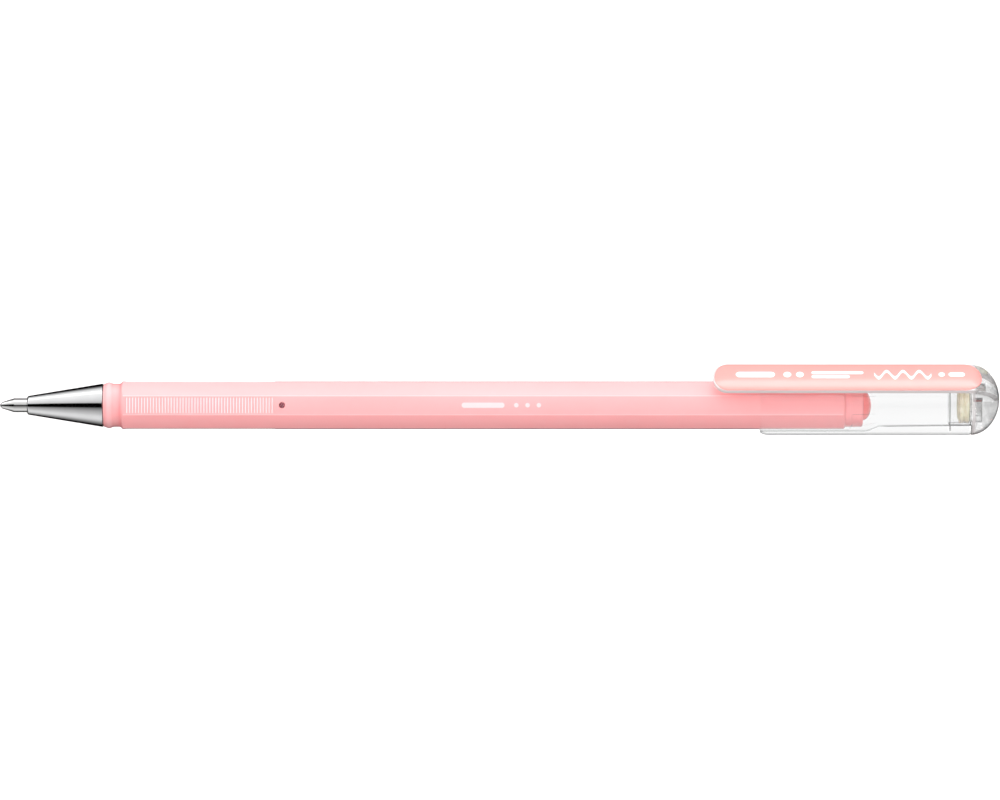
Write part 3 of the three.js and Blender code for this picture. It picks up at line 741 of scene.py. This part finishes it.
turned_piece(
    "seal_cup",
    [(151.75, 2.88, 0.05), (151.75, 3.1, 0.05), (151.87, 3.22, 0.05), (155.12, 3.22, 0.05), (155.12, 2.62, 0.03), (156.6, 2.62, 0.1), (156.6, 1.7, 0.05), (155.55, 1.7), (155.55, 1.0), (155.03, 1.0), (155.03, 2.88)],
    "cap", M_CUP, "clear_plastic", ["seal_holder"], 128,
)
turned_piece(
    "seal_plug",
    [(154.0, 0.0), (153.8, 0.45), (153.2, 1.0, 0.1), (153.2, 2.18, 0.04), (153.38, 2.25, 0.04), (153.43, 2.8, 0.08), (154.02, 2.8, 0.03), (154.08, 2.62, 0.02), (154.22, 2.62, 0.02), (154.28, 2.8, 0.03), (154.95, 2.8, 0.1), (154.95, 0.0)],
    "cap", M_SEAL, "seal_elastomer", ["tip_seal"], 96, 30,
)

# ------------------------------------------------------------------ crown and clip arm, one clear moulding
C_S, C_H, C_A = 155.17, 1.25, 4.63
TOP_H, ARM_H, CLIP_W = 6.28, 5.58, 2.97
CROWN_FRONT = 155.36
SOCKET_R, SOCKET_END = 2.74, 156.8
ARM_FRONT, ARM_END_A = 113.91, 2.3


def crown_scale(s):
    t = (s - C_S) / C_A
    return math.sqrt(max(0.0, 1 - t * t)) if t > 0 else 1.0


def crown_top(s):
    return C_H + (TOP_H - C_H) * crown_scale(s)


def hood():
    rc = 0.14
    meet = math.sqrt(CAP_R**2 - CLIP_W**2)
    # Section at the crown's front face, from the arm's lower edge on the +y side, over the top, to the -y side.
    upper = [(CLIP_W, ARM_H), (CLIP_W, 5.70), (CLIP_W, TOP_H - rc)]
    for k in range(1, 6):
        a = math.pi / 2 * k / 5
        upper.append((CLIP_W - rc + rc * math.cos(a), TOP_H - rc + rc * math.sin(a)))
    upper += [(w, TOP_H) for w in (1.8, 0.9, 0.0)]
    upper += [(-y, h) for y, h in reversed(upper[:-1])]
    n_up = len(upper)
    lower = [(-CLIP_W, h) for h in (5.2, 4.8, 4.4, 4.0)]
    a0 = math.atan2(CLIP_W, meet)
    steps = 90
    for k in range(steps + 1):
        a = a0 + (2 * math.pi - 2 * a0) * k / steps
        lower.append((-CAP_R * math.sin(a), CAP_R * math.cos(a)))
    lower += [(CLIP_W, h) for h in (4.0, 4.4, 4.8, 5.2)]
    section = upper + lower
    n = len(section)
    verts, faces = [], []

    def add(s, y, h):
        verts.append((s, y, h))
        return len(verts) - 1

    # Dome
    rings = []
    count = 36
    t0 = math.asin((CROWN_FRONT - C_S) / C_A)
    for k in range(count):
        t = t0 + (math.pi / 2 - t0) * k / count
        s, f = C_S + C_A * math.sin(t), math.cos(t)
        rings.append([add(s, y * f, C_H + (h - C_H) * f) for y, h in section])
    tip = add(C_S + C_A, 0, C_H)
    for a, b in zip(rings, rings[1:]):
        for j in range(n):
            k = (j + 1) % n
            faces.append((a[j], b[j], b[k], a[k]))
    for j in range(n):
        faces.append((rings[-1][j], tip, rings[-1][(j + 1) % n]))

    # Arm: rings that share the dome's upper section, joined along its lower edge
    f0 = math.cos(t0)
    low_y = [-2.1, -1.4, -0.7, 0.0, 0.7, 1.4, 2.1]

    def arm_ring(s, w, chamfer, flat):
        ring = []
        k = w / CLIP_W
        top = TOP_H * flat + (C_H + (TOP_H - C_H) * f0) * (1 - flat)
        for i, (y, h) in enumerate(upper):
            hh = C_H + (h - C_H) * f0
            hh = hh * (1 - flat) + h * flat
            yy = y * (f0 * (1 - flat) + flat) * k
            if i in (0, n_up - 1):
                yy -= math.copysign(min(chamfer, abs(yy) * 0.9), yy)
            ring.append((s, yy, min(hh, top)))
        bottom = ring[0][2]
        for y in low_y:
            ring.append((s, y * k, bottom))
        return ring

    junction = rings[0][:n_up] + [add(CROWN_FRONT, y, C_H + (ARM_H - C_H) * f0) for y in low_y]
    previous = junction
    stations = [(155.27, CLIP_W, 0.03, 0.5), (155.17, CLIP_W, 0.06, 1.0), (154.8, CLIP_W, 0.12, 1.0)]
    s = 153.5
    while s > 118.5:
        stations.append((s, CLIP_W, 0.12, 1.0))
        s -= 1.5
    stations.append((ARM_FRONT + ARM_END_A + 0.6, CLIP_W, 0.12, 1.0))
    for k in range(0, 18):
        a = math.pi / 2 * k / 18
        stations.append((ARM_FRONT + ARM_END_A * (1 - math.sin(a)), CLIP_W * math.cos(a), 0.12 * math.cos(a), 1.0))
    for st in stations:
        ids = [add(*p) for p in arm_ring(*st)]
        m = len(ids)
        for j in range(m):
            k = (j + 1) % m
            faces.append((previous[j], ids[j], ids[k], previous[k]))
        previous = ids
    # Close the free end with a strip from the top edge to the bottom edge
    top_mid = add(ARM_FRONT, 0, TOP_H)
    low_mid = add(ARM_FRONT, 0, ARM_H)
    m = len(previous)
    half = n_up // 2
    left = previous[: half + 1]
    right = previous[half:n_up]
    right_low = previous[n_up:]
    mid_low = right_low[3]
    for chain in (left, right):
        for a, b in zip(chain, chain[1:]):
            faces.append((a, b, top_mid))
    faces.append((previous[0], top_mid, low_mid))
    faces.append((previous[n_up - 1], top_mid, low_mid))
    chain = [previous[n_up - 1]] + right_low + [previous[0]]
    for a, b in zip(chain, chain[1:]):
        faces.append((a, b, low_mid))

    # Front face of the crown, below the arm, with the socket in it
    loop_ids = [rings[0][0]] + list(reversed(junction[n_up:])) + [rings[0][n_up - 1]] + rings[0][n_up:]
    m = 96
    socket = [add(CROWN_FRONT, SOCKET_R * math.sin(2 * math.pi * j / m), SOCKET_R * math.cos(2 * math.pi * j / m)) for j in range(m)]
    outer = [Vector((verts[i][1], verts[i][2], 0)) for i in loop_ids]
    inner = [Vector((verts[i][1], verts[i][2], 0)) for i in socket]
    ids = loop_ids + socket
    for tri in tessellate_polygon([outer, inner]):
        faces.append(tuple(ids[i] for i in tri))
    deep = [add(SOCKET_END - 0.08, verts[i][1], verts[i][2]) for i in socket]
    deep2 = [add(SOCKET_END, verts[i][1] * 0.97, verts[i][2] * 0.97) for i in socket]
    foot = add(SOCKET_END, 0, 0)
    for j in range(m):
        k = (j + 1) % m
        faces.append((socket[j], deep[j], deep[k], socket[k]))
        faces.append((deep[j], deep2[j], deep2[k], deep[k]))
        faces.append((deep2[j], foot, deep2[k]))
    ob = build("clear_hood", verts, faces, ("cap", "clip", (154.6, 0, 5.9), (152.6, 0, 5.9)), M_HOOD, "clear_plastic", ["cap_crown", "clip_arm"], 30)
    bm = bmesh.new()
    bm.from_mesh(ob.data)
    holes = [e for e in bm.edges if len(e.link_faces) != 2]
    print("hood open edges", len(holes))
    bm.free()
    return ob


hood()


def inlay():
    front, fa, rear, ra, half = 114.18, 2.15, 156.82, 2.85, 2.91
    outline = []
    for k in range(33):
        a = math.pi / 2 + math.pi * k / 32
        outline.append((front + fa + fa * math.cos(a), half * math.sin(a)))
    straight = []
    s = front + fa + 1.0
    while s < rear - ra - 0.3:
        straight.append(s)
        s += 1.0
    outline += [(s, -half) for s in straight]
    for k in range(33):
        a = -math.pi / 2 + math.pi * k / 32
        outline.append((rear - ra + ra * math.cos(a), half * math.sin(a)))
    outline += [(s, half) for s in reversed(straight)]
    n = len(outline)
    f0, f1 = front + fa, rear - ra

    def inset(p, k):
        c = min(max(p[0], f0), f1)
        return (c + (p[0] - c) * (1 - k), p[1] * (1 - k))

    # (inset share, height over the arm's top)
    layers = [(0.03, -0.02), (0.0, 0.0), (0.0, 0.02)]
    edge = 0.08
    for k in range(1, 6):
        a = math.pi / 2 * k / 5
        layers.append((0.03 * (1 - math.cos(a)), 0.02 + edge * math.sin(a)))
    for k in (0.07, 0.13, 0.2, 0.3, 0.4, 0.5, 0.62, 0.75, 0.88):
        layers.append((k, 0.10 + 0.28 * (1 - (1 - k) ** 2)))
    verts, faces, rings = [], [], []

    def over(s):
        return crown_top(s)

    for k, h in layers:
        ring = []
        for p in outline:
            s, y = inset(p, k)
            verts.append((s, y, over(s) + h))
            ring.append(len(verts) - 1)
        rings.append(ring)
    for a, b in zip(rings, rings[1:]):
        for j in range(n):
            q = (j + 1) % n
            faces.append((a[j], b[j], b[q], a[q]))
    # Spine on top and a spine underneath close the shape
    for ring, h, flip in ((rings[-1], 0.38, False), (rings[0], -0.02, True)):
        spine = {}

        def spine_id(p):
            c = round(min(max(p[0], f0), f1), 4)
            if c not in spine:
                verts.append((c, 0.0, over(c) + h))
                spine[c] = len(verts) - 1
            return spine[c]

        for j in range(n):
            q = (j + 1) % n
            a, b = spine_id(outline[j]), spine_id(outline[q])
            if a == b:
                faces.append((ring[j], ring[q], a))
            else:
                faces.append((ring[j], ring[q], b, a))
    ob = build("clip_inlay_plate", verts, faces, ("cap", "clip", (154.6, 0, 5.9), (152.6, 0, 5.9)), M_INLAY, "pink_inlay", ["clip_inlay"], 32)
    bm = bmesh.new()
    bm.from_mesh(ob.data)
    print("inlay open edges", len([e for e in bm.edges if len(e.link_faces) != 2]))
    bm.free()
    return ob


inlay()

# ------------------------------------------------------------------ floor
def floor():
    size, z = 3.0, -0.03
    n = 12
    verts = [((i / n - 0.5) * 2 * size, (j / n - 0.5) * 2 * size, z) for j in range(n + 1) for i in range(n + 1)]
    faces = [(j * (n + 1) + i, j * (n + 1) + i + 1, (j + 1) * (n + 1) + i + 1, (j + 1) * (n + 1) + i) for j in range(n) for i in range(n)]
    me = bpy.data.meshes.new("floor")
    me.from_pydata(verts, [], faces)
    keep_rest(me)
    ob = bpy.data.objects.new("floor", me)
    bpy.context.scene.collection.objects.link(ob)
    nd = Nodes("pale_floor")
    nd.link(nd.mix(nd.noise(4, 2), (0.90, 0.90, 0.90), (0.89, 0.89, 0.89)), nd.bsdf.inputs["Base Color"])
    nd.set(Roughness=0.9)
    me.materials.append(nd.mat)
    ob.visible_diffuse = False
    ob.visible_glossy = False
    ob.visible_transmission = False


floor()

# ------------------------------------------------------------------ studio light
UP = (0.0, 0.70711, 0.70711)
TO_CAMERA = (0.0, -0.70711, 0.70711)


def studio():
    """A soft tent: an even glow that is brighter from above, and strip lights with dark gaps that polished parts mirror."""
    world = bpy.data.worlds.new("studio")
    bpy.context.scene.world = world
    world.use_nodes = True
    world.cycles.sampling_method = "NONE"
    t = world.node_tree
    t.nodes.clear()
    link = t.links.new

    def node(kind, **kw):
        n = t.nodes.new(kind)
        for k, v in kw.items():
            setattr(n, k, v)
        return n

    coord = node("ShaderNodeTexCoord").outputs["Generated"]

    def dot(vec):
        n = node("ShaderNodeVectorMath", operation="DOT_PRODUCT")
        link(coord, n.inputs[0])
        n.inputs[1].default_value = vec
        return n.outputs["Value"]

    def math_(op, a, b):
        n = node("ShaderNodeMath", operation=op)
        for i, v in enumerate((a, b)):
            if isinstance(v, (int, float)):
                n.inputs[i].default_value = v
            else:
                link(v, n.inputs[i])
        return n.outputs[0]

    up, near = dot(UP), dot(TO_CAMERA)
    angle = math_("ARCTAN2", up, near)
    where = math_("ADD", math_("DIVIDE", angle, 2 * math.pi), 0.5)
    ramp = node("ShaderNodeValToRGB")
    link(where, ramp.inputs[0])
    scale = 8.0
    table = [
        (-180, 0.0), (-138, 0.0), (-133, 0.05), (-125, 0.18), (-116, 0.36), (-102, 0.75), (-90, 1.12), (-80, 1.31), (-65, 1.26), (-51, 0.98), (-34, 0.70), (-26, 0.50), (-18, 0.30), (-9, 0.17), (-2, 0.20),
        (2, 0.72), (14, 0.93), (25, 1.20), (43, 1.47), (56, 1.61), (70, 1.75), (76, 4.6), (80, 4.6), (86, 1.74), (97, 1.47), (104, 1.2), (110, 0.85), (119, 0.38), (126, 0.12), (132, 0.0), (180, 0.0),
    ]
    cr = ramp.color_ramp
    while len(cr.elements) > 1:
        cr.elements.remove(cr.elements[-1])
    for i, (deg, val) in enumerate(table):
        pos = (deg + 180) / 360
        e = cr.elements[0] if i == 0 else cr.elements.new(pos)
        e.position = pos
        e.color = (val / scale, val / scale, val / scale, 1)
    mirror = math_("MULTIPLY", ramp.outputs[0], scale)
    # The dark gap in front is narrow square to the pen and opens towards its ends.
    along = math_("ABSOLUTE", dot((1.0, 0.0, 0.0)), 0.0)
    gap = math_("ADD", math_("MULTIPLY", along, 0.50), 0.045)
    clear_of = math_("DIVIDE", math_("SUBTRACT", math_("ABSOLUTE", angle, 0.0), gap), 0.05)
    clear_of = math_("MINIMUM", math_("MAXIMUM", clear_of, 0.0), 1.0)
    mirror = math_("MULTIPLY", mirror, clear_of)
    # Soft light on matte surfaces: more from above, less from below, and a soft box in front.
    glow = math_("ADD", math_("MULTIPLY", math_("MAXIMUM", up, 0.0), 1.18), 0.895)
    glow = math_("ADD", glow, math_("MULTIPLY", math_("MINIMUM", up, 0.0), 0.60))
    box = node("ShaderNodeMapRange", interpolation_type="SMOOTHSTEP")
    link(near, box.inputs["Value"])
    for key, v in (("From Min", 0.955), ("From Max", 0.99), ("To Min", 0.0), ("To Max", 5.2)):
        box.inputs[key].default_value = v
    # The far side is dimmer, so edges that turn away are deeper in tone than the faces beside them.
    far = node("ShaderNodeMapRange", interpolation_type="SMOOTHSTEP")
    link(near, far.inputs["Value"])
    for key, v in (("From Min", -0.55), ("From Max", 0.12), ("To Min", 0.30), ("To Max", 1.0)):
        far.inputs[key].default_value = v
    glow = math_("MULTIPLY", glow, far.outputs["Result"])
    glow = math_("ADD", glow, box.outputs["Result"])
    path = node("ShaderNodeLightPath")

    def choose(factor, a, b):
        n = node("ShaderNodeMix", data_type="FLOAT")
        link(factor, n.inputs[0])
        for v, i in ((a, 2), (b, 3)):
            if isinstance(v, (int, float)):
                n.inputs[i].default_value = v
            else:
                link(v, n.inputs[i])
        return n.outputs[0]

    # Bright below and round the object and darker overhead, as clear parts are lit.
    behind = math_("MULTIPLY", dot((0.0, 0.0, 1.0)), -1.0)
    backdrop = node("ShaderNodeMapRange", interpolation_type="SMOOTHSTEP")
    link(behind, backdrop.inputs["Value"])
    for key, v in (("From Min", -0.55), ("From Max", 0.12), ("To Min", 0.22), ("To Max", 1.0)):
        backdrop.inputs[key].default_value = v
    value = choose(path.outputs["Is Glossy Ray"], 1.0, mirror)
    # Dark flags beside the backdrop give bent light in thick clear parts something to show.
    bent = math_("MULTIPLY", math_("SUBTRACT", 0.25, behind), 5.0)
    bent = math_("MINIMUM", math_("MAXIMUM", bent, 0.0), 1.0)
    flags = math_("SINE", math_("ADD", math_("MULTIPLY", angle, 5.0), math_("MULTIPLY", dot((1.0, 0.0, 0.0)), 6.0)), 0.0)
    flags = math_("MULTIPLY", math_("ADD", math_("MULTIPLY", flags, 0.5), 0.5), bent)
    through = math_("MULTIPLY", backdrop.outputs["Result"], math_("SUBTRACT", 1.0, math_("MULTIPLY", flags, 0.6)))
    value = choose(path.outputs["Is Transmission Ray"], value, through)
    lit = math_("GREATER_THAN", path.outputs["Diffuse Depth"], 0.5)
    lit = math_("MAXIMUM", lit, path.outputs["Is Diffuse Ray"])
    value = choose(lit, value, glow)
    bg = node("ShaderNodeBackground")
    link(value, bg.inputs["Strength"])
    # The diffuse light from below is a little warmer than the light from above.
    low = node("ShaderNodeMapRange")
    link(up, low.inputs["Value"])
    for key, v in (("From Min", -1.0), ("From Max", 0.35), ("To Min", 1.0), ("To Max", 0.0)):
        low.inputs[key].default_value = v
    warm = math_("MULTIPLY", low.outputs["Result"], lit)
    tone = node("ShaderNodeMix", data_type="RGBA")
    link(warm, tone.inputs[0])
    tone.inputs[6].default_value = (1, 1, 1, 1)
    tone.inputs[7].default_value = (1.22, 0.96, 0.965, 1)
    link(tone.outputs[2], bg.inputs["Color"])
    out = node("ShaderNodeOutputWorld")
    link(bg.outputs[0], out.inputs[0])


studio()

scene = bpy.context.scene
scene.view_settings.view_transform = "Standard"
scene.view_settings.look = "None"

# ------------------------------------------------------------------ camera
distance = 1.2
target = Vector(place((80.0, 0, 0))) + Vector(UP) * 0.000848
data = bpy.data.cameras.new("camera")
data.sensor_width = 36
data.lens = 36 * distance / 0.16
data.clip_start, data.clip_end = 0.01, 20
camera = bpy.data.objects.new("camera", data)
scene.collection.objects.link(camera)
camera.location = target + Vector(TO_CAMERA) * distance
camera.rotation_euler = (target - camera.location).to_track_quat("-Z", "Y").to_euler()
scene.camera = camera
